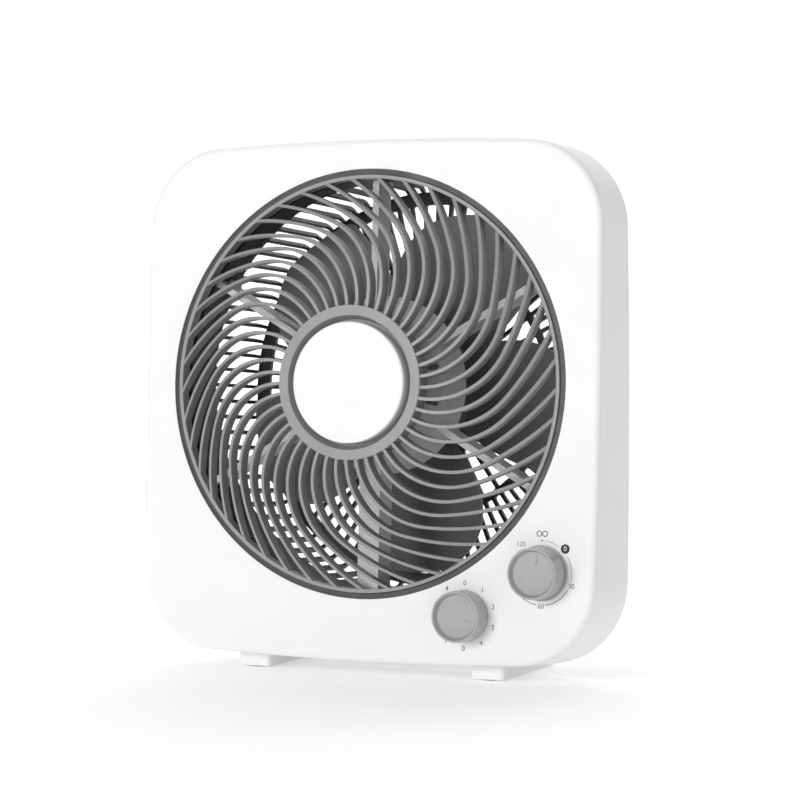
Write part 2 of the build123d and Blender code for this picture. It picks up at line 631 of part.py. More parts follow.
def motor_bracket():
    start = BELL_REAR_R - 8
    end = DUCT_R - PANEL_FIT
    arm = block(end - start, ARM_WIDTH, ARM_FRONT, ARM_REAR, ((start + end) / 2, 0))
    arms = [Rot(0, 0, angle) * arm for angle in arm_angles() if angle != CHANNEL_ANGLE]
    channel = block(end - start, CHANNEL_WIDTH, ARM_FRONT, ARM_REAR, ((start + end) / 2, 0))
    lug_start = end - LUG_ROOT
    lug = block(LUG_R - lug_start, 2 * BOSS_R, LUG_FRONT, ARM_REAR, ((LUG_R + lug_start) / 2, 0))
    lug += disc(BOSS_R, LUG_FRONT, ARM_REAR, (LUG_R, 0))
    bridge = block(LUG_ROOT, CHANNEL_WIDTH, LUG_FRONT, ARM_REAR, (end - LUG_ROOT / 2, 0))
    posts = [disc(BOSS_R, -BELL_FRONT_PROUD, MOTOR_FRONT, at) for at in motor_post_places()]
    posts = [post & bell_solid(0) for post in posts]
    bracket = (bell_solid(0) + arms + [Rot(0, 0, CHANNEL_ANGLE) * channel]) - bell_solid(BELL_WALL)
    groove = block(DUCT_R - STATOR_R, CHANNEL_WIDTH - 2 * CHANNEL_WALL, ARM_FRONT + CHANNEL_WALL,
                   ARM_REAR + 2, ((DUCT_R + STATOR_R) / 2, 0)) - disc(STATOR_R + 11, 0, DEEP)
    bracket -= Rot(0, 0, CHANNEL_ANGLE) * groove
    bracket = bracket + spin(lug, ARM_COUNT, ARM_REST_ANGLE) + posts
    bracket += Rot(0, 0, CHANNEL_ANGLE) * bridge
    bracket = bracket - [Rot(0, 0, angle) * vent() for angle in VENT_ANGLES]
    bracket -= disc(GRILLE_SHAFT_R + 1, -BELL_FRONT_PROUD - 1, 0)
    holes = [disc(SCREW_R + THREAD_FIT, BELL_INSIDE - BELL_WALL + 0.2, BELL_INSIDE + 1, at)
             for at in ((EAR_SCREW_R, 0), (-EAR_SCREW_R, 0))]
    holes += [disc(SCREW_R + THREAD_FIT, MOTOR_FRONT - 6, MOTOR_FRONT + 1, at)
              for at in motor_post_places()]
    add("motor_bracket", bracket - holes - bracket_holes(LUG_FRONT, ARM_REAR))
    add("bracket_screws", group([screw(ARM_REAR, BRACKET_SCREW_LENGTH, polar(LUG_R, angle))
                                 for angle in arm_angles()]))


def duct_ring():
    """The dark ring inside the opening, whose ears are held under the bracket's lugs."""
    ring_r = DUCT_R + DUCT_WALL / 2
    ear = block(LUG_R - ring_r, 2 * BOSS_R, BOSS_REAR, LUG_FRONT, ((LUG_R + ring_r) / 2, 0))
    ear += disc(BOSS_R, BOSS_REAR, LUG_FRONT, (LUG_R, 0))
    notch = block(4 * DUCT_WALL, 2 * (BOSS_R + PANEL_FIT), LUG_FRONT, ARM_REAR + 2, (ring_r, 0))
    wires = block(4 * DUCT_WALL, CHANNEL_WIDTH - 2 * CHANNEL_WALL, ARM_FRONT + CHANNEL_WALL,
                  BOSS_REAR, (ring_r, 0))
    ring = tube(DUCT_R + DUCT_WALL, DUCT_R, ARM_FRONT, ARM_REAR + 1)
    ring = ring + spin(ear, ARM_COUNT, ARM_REST_ANGLE)
    ring = ring - spin(notch, ARM_COUNT, ARM_REST_ANGLE) - [Rot(0, 0, CHANNEL_ANGLE) * wires]
    add("duct_ring", ring - bracket_holes(BOSS_REAR, LUG_FRONT))


# ---- main motor -----------------------------------------------------------------------------
def end_bell(closed, opened, bearing_seat):
    """A cup that closes the motor at one depth and opens against the laminations at another."""
    low = min(closed, opened)
    high = max(closed, opened)
    towards = 1 if opened > closed else -1
    cup = disc(STATOR_R, low, high)
    floor = closed + towards * END_BELL_WALL
    cup -= disc(STATOR_R - END_BELL_WALL, min(floor, opened + towards), max(floor, opened + towards))
    seat_low, seat_high = bearing_seat
    cup += disc(BEARING_R + END_BELL_WALL, seat_low, seat_high)
    cup -= disc(BEARING_R, min(floor, opened), max(floor, opened))
    lug_low = closed if towards > 0 else closed - MOTOR_LUG_THICK
    for x, y in motor_post_places():
        lug = disc(MOTOR_LUG_R, lug_low, lug_low + MOTOR_LUG_THICK, (x, y))
        bridge = disc(MOTOR_LUG_R, lug_low, lug_low + MOTOR_LUG_THICK,
                      (x * STATOR_R / MOTOR_SCREW_R, y * STATOR_R / MOTOR_SCREW_R))
        bridge -= disc(STATOR_R - END_BELL_WALL / 2, lug_low - 1, lug_low + MOTOR_LUG_THICK + 1)
        cup += lug + bridge
        cup -= disc(SCREW_R + SCREW_CLEARANCE, lug_low - 1, lug_low + MOTOR_LUG_THICK + 1, (x, y))
    return cup - disc(MAIN_SHAFT_R + 1, low - 1, high + 1)


def main_motor():
    front_seat = (MOTOR_FRONT, MOTOR_FRONT + END_BELL_WALL + BEARING_LENGTH)
    rear_seat = (MOTOR_REAR - END_BELL_WALL - BEARING_LENGTH, MOTOR_REAR)
    add("motor_front_bell", end_bell(MOTOR_FRONT, STATOR_FRONT, front_seat))
    add("motor_rear_bell", end_bell(MOTOR_REAR, STATOR_REAR, rear_seat))
    bore = ROTOR_R + AIR_GAP
    core = tube(STATOR_R, STATOR_R - YOKE_WIDTH, STATOR_FRONT, STATOR_REAR)
    pole_length = STATOR_R - YOKE_WIDTH / 2 - bore + 1
    pole = block(pole_length, POLE_WIDTH, STATOR_FRONT, STATOR_REAR,
                 (STATOR_R - YOKE_WIDTH / 2 - pole_length / 2, 0))
    poles = spin(pole, POLE_COUNT)
    core = core + poles - disc(bore, STATOR_FRONT - 1, STATOR_REAR + 1)
    add("stator_core", core)
    coil_in = bore + 2
    coil_out = STATOR_R - YOKE_WIDTH - 2.5
    reach = coil_out - coil_in
    middle = (coil_in + coil_out) / 2
    wound = block(reach, POLE_WIDTH + 2 * COIL_THICK, STATOR_FRONT - COIL_OVERHANG,
                  STATOR_REAR + COIL_OVERHANG, (middle, 0))
    wound = fillet(wound.edges().filter_by(Axis.X), COIL_THICK * 0.8)
    wound -= block(2 * reach, POLE_WIDTH + 0.2, STATOR_FRONT - 0.1, STATOR_REAR + 0.1, (middle, 0))
    add("stator_windings", group(spin(wound, POLE_COUNT)))
    seats = (front_seat[1] - BEARING_LENGTH, rear_seat[0])
    add("motor_bearings", group([tube(BEARING_R, MAIN_SHAFT_R + RUNNING_FIT, seat,
                                      seat + BEARING_LENGTH) for seat in seats]))
    add("rotor_core", tube(ROTOR_R, MAIN_SHAFT_R, STATOR_FRONT, STATOR_REAR))
    add("motor_shaft", disc(MAIN_SHAFT_R, MOTOR_FRONT + END_BELL_WALL, SHAFT_REAR - 1))
    length = MOTOR_REAR - MOTOR_FRONT + 5
    add("motor_screws", group([screw(MOTOR_REAR, length, at) for at in motor_post_places()]))


# ---- impeller -------------------------------------------------------------------------------
def blade():
    """One twisted blade: a helical sheet between the hub and the tip, trimmed to its outline."""
    pitch = BLADE_RISE * 360 / BLADE_SWEEP
    inner = IMPELLER_HUB_R - IMPELLER_WALL / 2
    outer = IMPELLER_R + 10
    rise = BLADE_RISE * 1.5
    rails = [Edge.make_helix(pitch, rise, radius) for radius in (inner, outer)]
    sheet = Face.make_surface_from_curves(*rails)
    solid = Solid.thicken(sheet, BLADE_THICK)
    half_turn = BLADE_SWEEP * 1.5 / 2
    solid = Pos(0, 0, -rise / 2) * Rot(0, 0, -half_turn) * solid
    front_points = [polar(inner, BLADE_FRONT_ROOT)]
    front_points += [polar(part * IMPELLER_R, angle) for part, angle in BLADE_FRONT_EDGE]
    front = Spline(*front_points)
    rear_points = [polar(part * IMPELLER_R, angle) for part, angle in BLADE_REAR_EDGE]
    rear = ThreePointArc(*rear_points, polar(inner, BLADE_REAR_ROOT))
    tip = ThreePointArc(front @ 1, polar(IMPELLER_R, 0), rear @ 0)
    root = ThreePointArc(rear @ 1, polar(inner, 0), front @ 0)
    plan = make_face([front, tip, rear, root])
    corner = plan.vertices().sort_by_distance((*rear_points[0], 0))[0]
    plan = fillet_vertex(plan, corner, BLADE_CORNER_R)
    return solid & extrude(plan, BIG / 2, both=True)


def impeller():
    hub = disc(IMPELLER_HUB_R, IMPELLER_FRONT, IMPELLER_REAR)
    hub = fillet(hub.faces().sort_by(Axis.Z)[0].edges(), 4)
    hub -= disc(IMPELLER_HUB_R - IMPELLER_WALL, IMPELLER_FRONT - 1, IMPELLER_REAR - IMPELLER_WALL)
    hub += disc(IMPELLER_BOSS_R, IMPELLER_REAR - IMPELLER_BOSS_LENGTH, IMPELLER_REAR)
    middle = IMPELLER_REAR - BLADE_REAR - BLADE_RISE / 2
    blades = spin(Pos(0, 0, -middle) * blade(), BLADE_COUNT, BLADE_REST_ANGLE)
    wheel = hub + blades
    wheel -= disc(IMPELLER_HUB_R - IMPELLER_WALL, IMPELLER_FRONT - 20,
                  IMPELLER_REAR - IMPELLER_WALL) - disc(IMPELLER_BOSS_R, 0, GUARD_REAR)
    add("impeller", wheel - disc(MAIN_SHAFT_R, 0, GUARD_REAR))
    nut = disc(NUT_R, IMPELLER_REAR, SHAFT_REAR)
    nut = fillet(nut.faces().sort_by(Axis.Z)[0].edges(), 3)
    add("impeller_nut", nut - disc(MAIN_SHAFT_R, IMPELLER_REAR - 1, SHAFT_REAR - 1))


# ---- controls -------------------------------------------------------------------------------
def knob(at, length, pointer_angle, skirt):
    """A knob with a dished face, a pointer cut into it and a hub for the spindle."""
    x, y = at
    body = turned([(0, -KNOB_GAP), (KNOB_BASE_R, -KNOB_GAP), (KNOB_FACE_R, -length), (0, -length)])
    body = fillet(body.faces().sort_by(Axis.Z)[-1].edges(), 0.5)
    if skirt:
        body += disc(TIMER_SKIRT_R, -KNOB_GAP - TIMER_SKIRT_LENGTH, -KNOB_GAP)
    rim = KNOB_FACE_R - KNOB_RIM
    floor = length - KNOB_RECESS
    body -= turned([(0, -floor), (rim - KNOB_DISH_TAPER, -floor), (rim, -length),
                    (rim, -length - 1), (0, -length - 1)])
    body -= disc(KNOB_FACE_R - KNOB_WALL, KNOB_FLOOR - floor, 1)
    body += disc(KNOB_BOSS_R, KNOB_FLOOR - floor, -BUSHING_PROUD - 0.6)
    body -= disc(SPINDLE_R, KNOB_FLOOR - floor, 1)
    line = Pos(POINTER_START + POINTER_LENGTH / 2, 0) * Rectangle(POINTER_LENGTH, POINTER_WIDTH)
    tick = Rot(0, 0, TICK_TURN) * Pos(TICK_LENGTH / 2, 0) * Rectangle(TICK_LENGTH, POINTER_WIDTH)
    mark = line + Pos(POINTER_START + POINTER_LENGTH, 0) * tick
    cut = extrude(Pos(0, 0, floor - POINTER_CUT) * mark, 1)
    return Pos(x, y, 0) * (body - Rot(0, 0, pointer_angle) * cut)


def spindle(at, length, rear):
    """The turning shaft of a control, from inside it to the bottom of the knob's hub."""
    return disc(SPINDLE_R, KNOB_FLOOR + KNOB_RECESS - length, rear, at)


def control_body(at, radius, length):
    """A control's housing behind the face, with its threaded bushing."""
    body = disc(radius, SHELL_WALL, SHELL_WALL + length, at)
    body = fillet(body.faces().sort_by(Axis.Z)[0].edges(), 1.5)
    return body + disc(BUSHING_R, -BUSHING_PROUD, SHELL_WALL + 1, at)


def spindle_bore(at, length):
    """The running bore of a control's spindle."""
    return disc(SPINDLE_R + RUNNING_FIT, -BUSHING_PROUD - 1, SHELL_WALL + length / 2 + RUNNING_FIT,
                at)


def controls():
    switch = control_body(SPEED_KNOB_AT, SWITCH_R, SWITCH_LENGTH)
    add("speed_switch", switch - spindle_bore(SPEED_KNOB_AT, SWITCH_LENGTH))
    nut = Pos(*SPEED_KNOB_AT) * extrude(RegularPolygon(SWITCH_NUT_R, 6), SWITCH_NUT)
    add("switch_nut", nut - disc(BUSHING_R, -BUSHING_PROUD, 1, SPEED_KNOB_AT))
    add("speed_spindle", spindle(SPEED_KNOB_AT, SPEED_KNOB_LENGTH, SHELL_WALL + SWITCH_LENGTH / 2))
    add("speed_knob", knob(SPEED_KNOB_AT, SPEED_KNOB_LENGTH, SPEED_POINTER_ANGLE, False))
    timer = control_body(TIMER_KNOB_AT, TIMER_R, TIMER_LENGTH)
    x, y = TIMER_KNOB_AT
    away = math.degrees(math.atan2(y, x)) + 90
    seat = TIMER_SEAT + TIMER_PLATE
    plate = block(2 * TIMER_SCREW_SPAN, TIMER_PLATE_WIDTH, TIMER_SEAT, seat)
    plate = Pos(x, y) * Rot(0, 0, away) * plate
    timer += plate
    timer = timer + [disc(TIMER_PLATE_WIDTH / 2, TIMER_SEAT, seat, at) for at in timer_screw_places()]
    timer = timer - [disc(SCREW_R + SCREW_CLEARANCE, TIMER_SEAT - 1, seat + 1, at)
                     for at in timer_screw_places()]
    add("timer", timer - spindle_bore(TIMER_KNOB_AT, TIMER_LENGTH))
    add("timer_screws", group([screw(seat, TIMER_PLATE + 4, at) for at in timer_screw_places()]))
    add("timer_spindle", spindle(TIMER_KNOB_AT, TIMER_KNOB_LENGTH, SHELL_WALL + TIMER_LENGTH / 2))
    add("timer_knob", knob(TIMER_KNOB_AT, TIMER_KNOB_LENGTH, TIMER_POINTER_ANGLE, True))


# ---- electrical pieces ----------------------------------------------------------------------
def wire(points):
    """A round wire along (x, y, depth) points, with tangent arcs at its bends."""
    places = [Vector(x, y, -depth) for x, y, depth in points]
    radii = []
    for before, here, after in zip(places, places[1:], places[2:]):
        turn = math.radians((here - before).get_angle(after - here))
        shorter = min((here - before).length, (after - here).length)
        radii.append(0.45 * shorter / math.tan(turn / 2))
    path = FilletPolyline(*places, radius=radii)
    start = Plane(origin=path @ 0, z_dir=path % 0)
    return sweep(start * Circle(WIRE_R), path=path)


def electrics():
    x, y = TERMINAL_AT
    width, height, length = TERMINAL_SIZE
    terminal_rear = SHELL_WALL + length
    terminal = block(width, height, SHELL_WALL, terminal_rear, TERMINAL_AT)
    terminal = fillet(terminal.edges().filter_by(Axis.Z), 1)
    wells = [disc(2, terminal_rear - 4, terminal_rear + 1, (x + dx, y)) for dx in (-8, 8)]
    add("terminal_block", terminal - wells)
    cx, cy = CAPACITOR_AT
    cap_width, cap_height, cap_length = CAPACITOR_SIZE
    can = block(cap_width, cap_height, SHELL_WALL, SHELL_WALL + cap_length, CAPACITOR_AT)
    add("capacitor", fillet(can.edges().filter_by(Axis.Z), 2.5))

    cord_z = height_at(PANEL_FRONT, CORD_AT[1])
    bush = upright_rod(CORD_BUSH_R, SHELL_DEPTH - CORD_BUSH_LENGTH, SHELL_DEPTH, CORD_AT[0], cord_z)
    rear = SHELL_DEPTH + CORD_BUSH_FLANGE
    bush += upright_rod(CORD_BUSH_FLANGE_R, SHELL_DEPTH, rear, CORD_AT[0], cord_z)
    bush -= upright_rod(CORD_BORE_R, SHELL_DEPTH - CORD_BUSH_LENGTH - 1, rear + 1, CORD_AT[0], cord_z)
    add_upright("cord_inlet", bush)

    sx, sy = SPEED_KNOB_AT
    tx, ty = TIMER_KNOB_AT
    switch_rear = SHELL_WALL + SWITCH_LENGTH
    timer_rear = SHELL_WALL + TIMER_LENGTH
    cap_rear = SHELL_WALL + cap_length
    ring = -(DUCT_R + DUCT_WALL)
    motor = -(STATOR_R + WIRE_R)
    side = WIRE_SIDE
    add("timer_wire", wire([(x + 8, y, terminal_rear), (x + 8, y, 36), (x + 42, y + 3, 38),
                            (30, y + 2, 40), (sx - 7, sy - 5, 41), (sx + 28, sy + 10, 41),
                            (tx - 5, ty - 4, 42), (tx - 5, ty - 4, timer_rear)]))
    add("speed_wire", wire([(tx + 4, ty + 5, timer_rear), (tx + 4, ty + 5, 46),
                            (tx - 12, ty - 6, 50), (sx + 10, sy + 12, 46), (sx + 3, sy + 7, 38),
                            (sx + 3, sy + 7, switch_rear)]))
    add("motor_wire", wire([(sx - 6, sy - 3, switch_rear), (sx - 6, sy - 3, 31),
                            (36, sy - 7, 31), (10, ring - 9, 28), (side + 1, ring - 1, 25),
                            (side, ring + 22, WIRE_DEPTH), (side, motor - 20, WIRE_DEPTH + 1),
                            (side, motor, WIRE_DEPTH)]))
    add("grille_motor_wire", wire([(x - 8, y, terminal_rear), (x - 8, y, 27), (x + 20, y + 5, 30),
                                   (-10, ring - 9, 28), (-side - 1, ring - 1, 25),
                                   (-side, ring + 22, WIRE_DEPTH), (-side, motor - 20, WIRE_DEPTH + 1),
                                   (-side, motor - 9, 19), (-side, motor - 7.5, 9),
                                   (-side, -GRILLE_MOTOR_R - 15, 3), (-side, -GRILLE_MOTOR_R - WIRE_R, 2)]))
    add("capacitor_wire", wire([(cx + 4, cy, cap_rear), (cx + 4, cy, 36), (cx + 23, cy - 6, 40),
                                (x, y - 3.5, 36), (x, y - 3.5, terminal_rear)]))


# ---- feet -----------------------------------------------------------------------------------
def feet():
    body = to_body(body_block(0, 0, DEEP)) - slab(SHELL_DEPTH, BIG)
    bottom = GROUND + PAD_PROUD
    top = GROUND + FOOT_THICK
    pads = []
    screws = []
    head_seat = bottom + FOOT_SCREW_FLOOR
    for side, x in foot_centres().items():
        centre = (x, FOOT_START + FOOT_LENGTH / 2, bottom)
        foot = Pos(*centre) * Box(FOOT_WIDTH, FOOT_LENGTH, top - bottom, align=BASE)
        rear_top = foot.faces().sort_by(Axis.Z)[-1].edges().sort_by(Axis.Y)[-1]
        foot = chamfer(rear_top, FOOT_THICK / 3)
        foot = fillet(foot.edges().filter_by(Axis.Z), FOOT_EDGE_R)
        foot = fillet(foot.faces().sort_by(Axis.Z)[0].edges(), 1)
        foot -= body
        for behind in FOOT_SCREWS:
            y = FOOT_START + behind
            well = Cylinder(SCREW_HEAD_R + SCREW_CLEARANCE, FOOT_SCREW_FLOOR + 1, align=BASE)
            foot -= Pos(x, y, bottom - 1) * well
            foot -= Pos(x, y, bottom) * Cylinder(SCREW_R + SCREW_CLEARANCE, 2 * FOOT_THICK, align=BASE)
            head = Pos(x, y, head_seat - SCREW_HEAD) * Cylinder(SCREW_HEAD_R, SCREW_HEAD, align=BASE)
            shank = Pos(x, y, head_seat) * Cylinder(SCREW_R, FOOT_THICK, align=BASE)
            screws.append(head + shank)
        for behind in FOOT_PADS:
            pad = Pos(x, FOOT_START + behind, GROUND) * Cylinder(PAD_R, PAD_THICK, align=BASE)
            foot -= pad
            pads.append(pad)
        add_upright("foot_" + side, foot)
    add_upright("foot_pads", group(pads))
    add_upright("foot_screws", group(screws))


def main():
    front_shell()
    bezel_ring()
    rear_panel()
    panel_screws()
    rear_guard()
    louvre_grille()
    hub_cap()
    grille_drive()
    motor_bracket()
    duct_ring()
    main_motor()
    impeller()
    controls()
    electrics()
    feet()

    boxes = [shape.bounding_box() for shape in NODES.values()]
    front = min(box.min.Y for box in boxes)
    rear = max(box.max.Y for box in boxes)
    ground = min(box.min.Z for box in boxes)
    stand = Pos(0, -(front + rear) / 2, -ground)
    print("opening centre at y", -(front + rear) / 2, "z", -ground)
    os.makedirs("parts", exist_ok=True)
    for name, shape in NODES.items():
        export_step(stand * shape, f"parts/{name}.step")


main()
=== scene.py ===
"""Looks of the box fan: materials, dial printing, floor, light and camera."""
import json
import math

import bmesh
import bpy
from mathutils import Matrix, Vector


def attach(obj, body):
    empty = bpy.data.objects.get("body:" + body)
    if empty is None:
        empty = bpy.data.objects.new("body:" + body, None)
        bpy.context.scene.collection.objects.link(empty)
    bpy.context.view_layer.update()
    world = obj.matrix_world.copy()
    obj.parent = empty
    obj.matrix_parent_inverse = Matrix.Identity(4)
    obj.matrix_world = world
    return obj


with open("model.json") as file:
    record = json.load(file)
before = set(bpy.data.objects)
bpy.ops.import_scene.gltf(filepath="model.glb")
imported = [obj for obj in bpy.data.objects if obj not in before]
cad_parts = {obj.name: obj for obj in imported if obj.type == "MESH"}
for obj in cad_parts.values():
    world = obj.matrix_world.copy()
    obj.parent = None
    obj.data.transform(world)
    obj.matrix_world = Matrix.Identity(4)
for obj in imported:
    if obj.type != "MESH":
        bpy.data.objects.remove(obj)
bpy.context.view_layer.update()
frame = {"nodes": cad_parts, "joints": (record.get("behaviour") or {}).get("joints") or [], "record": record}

NODES = frame["nodes"]
JOINTS = {joint["name"]: joint for joint in frame["joints"]}
MM = 0.001
OPENING_BEHIND_JOINT = 60.0   # the wheel's joint lies this far behind the opening's centre

# ---- the fan frame: x right, y up along the face, z out of the face, millimetres ------------
FAN_AXIS = Vector(JOINTS["fan_spin"]["axis"]).normalized()
OPENING = Vector(JOINTS["fan_spin"]["pos_m"]) + FAN_AXIS * OPENING_BEHIND_JOINT * MM
FACE_UP = Vector((0, FAN_AXIS.z, -FAN_AXIS.y))


def fan_matrix(x=0.0, y=0.0, z=0.0):
    """The fan frame moved to a point of itself, as a matrix in metres."""
    place = OPENING + Vector((x, 0, 0)) * MM + FACE_UP * y * MM + FAN_AXIS * z * MM
    turn = Matrix((Vector((1, 0, 0)), FACE_UP, FAN_AXIS)).transposed().to_4x4()
    return Matrix.Translation(place) @ turn


# ---- materials ------------------------------------------------------------------------------
class Nodes:
    """A short way to write a shader's node tree."""

    def __init__(self, name):
        self.material = bpy.data.materials.new(name)
        self.material.use_nodes = True
        self.tree = self.material.node_tree
        self.shader = self.tree.nodes["Principled BSDF"]
        self.coords = self.tree.nodes.new("ShaderNodeTexCoord").outputs["Object"]

    def node(self, kind, inputs=None, **settings):
        made = self.tree.nodes.new("ShaderNode" + kind)
        for key, value in settings.items():
            setattr(made, key, value)
        for key, value in (inputs or {}).items():
            self.put(made.inputs[key], value)
        return made

    def put(self, socket, value):
        if isinstance(value, bpy.types.NodeSocket):
            self.tree.links.new(value, socket)
        else:
            socket.default_value = value

    def noise(self, scale, detail=3.0, roughness=0.55, stretch=None):
        coords = self.coords
        if stretch:
            coords = self.node("Mapping", {"Vector": coords, "Scale": stretch}).outputs["Vector"]
        made = self.node("TexNoise", {"Vector": coords, "Scale": scale, "Detail": detail,
                                      "Roughness": roughness})
        return made.outputs["Fac"]

    def blend(self, amount, first, second, low=0.35, high=0.65):
        ramp = self.node("ValToRGB", {"Fac": amount})
        ramp.color_ramp.elements[0].position = low
        ramp.color_ramp.elements[0].color = (*first, 1)
        ramp.color_ramp.elements[1].position = high
        ramp.color_ramp.elements[1].color = (*second, 1)
        return ramp.outputs["Color"]

    def span(self, amount, low, high):
        made = self.node("MapRange", {"Value": amount, "From Min": 0.3, "From Max": 0.7,
                                      "To Min": low, "To Max": high})
        return made.outputs["Result"]

    def bump(self, height, strength, distance, normal=None):
        inputs = {"Height": height, "Strength": strength, "Distance": distance}
        if normal:
            inputs["Normal"] = normal
        return self.node("Bump", inputs).outputs["Normal"]


def grey(value):
    """A linear grey from an sRGB value of 0 to 255."""
    share = value / 255
    linear = share / 12.92 if share <= 0.04045 else ((share + 0.055) / 1.055) ** 2.4
    return (linear, linear, linear)


def tint(colour, r, g, b):
    return (colour[0] * r, colour[1] * g, colour[2] * b)


def plastic(name, colour, rough=0.42, grain=1400.0, depth=0.00003, vary=0.03, specular=0.5,
            coat=0.0):
    """Moulded plastic: a fine spark-eroded grain, slow colour drift and uneven gloss."""
    nodes = Nodes(name)
    drift = nodes.noise(18.0, 4.0)
    dark = tint(colour, 1 - vary, 1 - vary, 1 - vary)
    light = tint(colour, 1 + vary * 0.6, 1 + vary * 0.6, 1 + vary * 0.5)
    nodes.put(nodes.shader.inputs["Base Color"], nodes.blend(drift, dark, light))
    fine = nodes.noise(grain, 2.0)
    nodes.put(nodes.shader.inputs["Roughness"],
              nodes.span(nodes.noise(60.0, 3.0), rough - 0.05, rough + 0.06))
    nodes.put(nodes.shader.inputs["Normal"], nodes.bump(fine, 0.25, depth))
    nodes.put(nodes.shader.inputs["Specular IOR Level"], specular)
    nodes.put(nodes.shader.inputs["Coat Weight"], coat)
    return nodes.material


def metal(name, colour, rough=0.32, stretch=(1, 1, 1), scale=900.0, vary=0.12):
    """Metal with drawn or ground lines and slight tarnish."""
    nodes = Nodes(name)
    lines = nodes.noise(scale, 2.0, stretch=stretch)
    stain = nodes.noise(45.0, 4.0)
    dark = tint(colour, 1 - vary, 1 - vary, 1 - vary)
    nodes.put(nodes.shader.inputs["Base Color"], nodes.blend(stain, dark, colour))
    nodes.put(nodes.shader.inputs["Metallic"], 1.0)
    nodes.put(nodes.shader.inputs["Roughness"], nodes.span(lines, rough - 0.07, rough + 0.1))
    nodes.put(nodes.shader.inputs["Normal"], nodes.bump(lines, 0.2, 0.00002))
    return nodes.material


def layered(name, colour, other, along, scale, rough, metallic=0.0, depth=0.0001):
    """Sheets or turns of wire that lie side by side along one direction."""
    nodes = Nodes(name)
    turned = nodes.node("Mapping", {"Vector": nodes.coords, "Rotation": along})
    wave = nodes.node("TexWave", {"Vector": turned.outputs["Vector"], "Scale": scale,
                                  "Distortion": 0.4, "Detail": 1.0})
    nodes.put(nodes.shader.inputs["Base Color"], nodes.blend(wave.outputs["Fac"], other, colour))
    nodes.put(nodes.shader.inputs["Roughness"], nodes.span(nodes.noise(80.0), rough, rough + 0.12))
    nodes.put(nodes.shader.inputs["Metallic"], metallic)
    nodes.put(nodes.shader.inputs["Normal"], nodes.bump(wave.outputs["Fac"], 0.6, depth))
    return nodes.material


LEAN = math.atan2(FAN_AXIS.z, -FAN_AXIS.y)
MATERIALS = {
    "white_shell": plastic("white_shell", tint(grey(240), 1.0, 1.0, 0.99), rough=0.46, vary=0.012),
    "light_grey": plastic("light_grey", grey(146), rough=0.42, vary=0.025),
    "bracket_grey": plastic("bracket_grey", grey(232), rough=0.45, vary=0.02),
    "dark_bezel": plastic("dark_bezel", grey(60), rough=0.45, vary=0.05),
    "dark_guard": plastic("dark_guard", grey(52), rough=0.55, vary=0.06),
    "blade_grey": plastic("blade_grey", grey(108), rough=0.4, vary=0.04),
    "cap_white": plastic("cap_white", grey(238), rough=0.42, vary=0.012),
    "knob_grey": plastic("knob_grey", grey(162), rough=0.3, vary=0.02, coat=0.25),
    "shaft_steel": metal("shaft_steel", (0.62, 0.62, 0.62), 0.25, (1, 12, 1)),
    "lamination": layered("lamination", (0.32, 0.32, 0.34), (0.12, 0.12, 0.13),
                          (LEAN, 0, math.pi / 2), 320.0, 0.42, 0.9),
    "zinc_housing": metal("zinc_housing", (0.58, 0.59, 0.6), 0.36, (1, 1, 1), 260.0),
    "copper_coil": layered("copper_coil", (0.62, 0.25, 0.09), (0.22, 0.07, 0.03),
                           (0, 0, 0), 420.0, 0.28, 0.35),
    "bronze": metal("bronze", (0.6, 0.4, 0.18), 0.45, (1, 1, 1), 1200.0, 0.25),
    "black_plastic": plastic("black_plastic", grey(44), rough=0.5, vary=0.08),
    "screw_zinc": metal("screw_zinc", (0.66, 0.66, 0.63), 0.3, (1, 1, 1), 700.0),
    "rubber_pad": plastic("rubber_pad", grey(38), rough=0.78, grain=900.0, depth=0.00008, vary=0.1),
    "cream_plastic": plastic("cream_plastic", tint(grey(226), 1.0, 0.95, 0.82), rough=0.5),
    "capacitor_case": plastic("capacitor_case", tint(grey(74), 0.9, 0.95, 1.1), rough=0.3),
    "wire_brown": plastic("wire_brown", (0.16, 0.06, 0.03), rough=0.48, vary=0.08),
    "wire_blue": plastic("wire_blue", (0.03, 0.1, 0.36), rough=0.48, vary=0.08),
    "rotor_alu": metal("rotor_alu", (0.5, 0.5, 0.5), 0.4, (1, 30, 1), 300.0),
}
PRINT_GREY = plastic("print_grey", grey(96), rough=0.6, vary=0.05)
PRINT_LIGHT = plastic("print_light", grey(140), rough=0.6, vary=0.05)
PRINT_BLACK = plastic("print_black", grey(36), rough=0.6, vary=0.06)
PRINT_WHITE = plastic("print_white", grey(236), rough=0.6, vary=0.02)


def dress(node, material):
    """Give a carried-over node its material."""
    mesh = node.data
    mesh.materials.clear()
    mesh.materials.append(material)
    for face in mesh.polygons:
        face.material_index = 0


for entry in frame["record"]["subparts"]:
    dress(NODES[entry["node"]], MATERIALS[entry["material_slot"]])


# ---- pieces in mesh code --------------------------------------------------------------------
def piece(name, build, matrix, material, body):
    """A mesh piece built in millimetres of the fan frame, placed and riding on a body."""
    mesh = bpy.data.meshes.new(name)
    working = bmesh.new()
    build(working)
    bmesh.ops.recalc_face_normals(working, faces=working.faces)
    working.transform(matrix @ Matrix.Diagonal((MM, MM, MM, 1)))
    working.to_mesh(mesh)
    working.free()
    mesh.materials.append(material)
    obj = bpy.data.objects.new(name, mesh)
    bpy.context.scene.collection.objects.link(obj)
    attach(obj, body)
    return obj


INK = 0.03             # thickness of the printing, millimetres
FACE_LIFT = 0.005      # the printing starts this far in front of the face
FONT_HEIGHT = 1.38     # a font size over the height of its digits


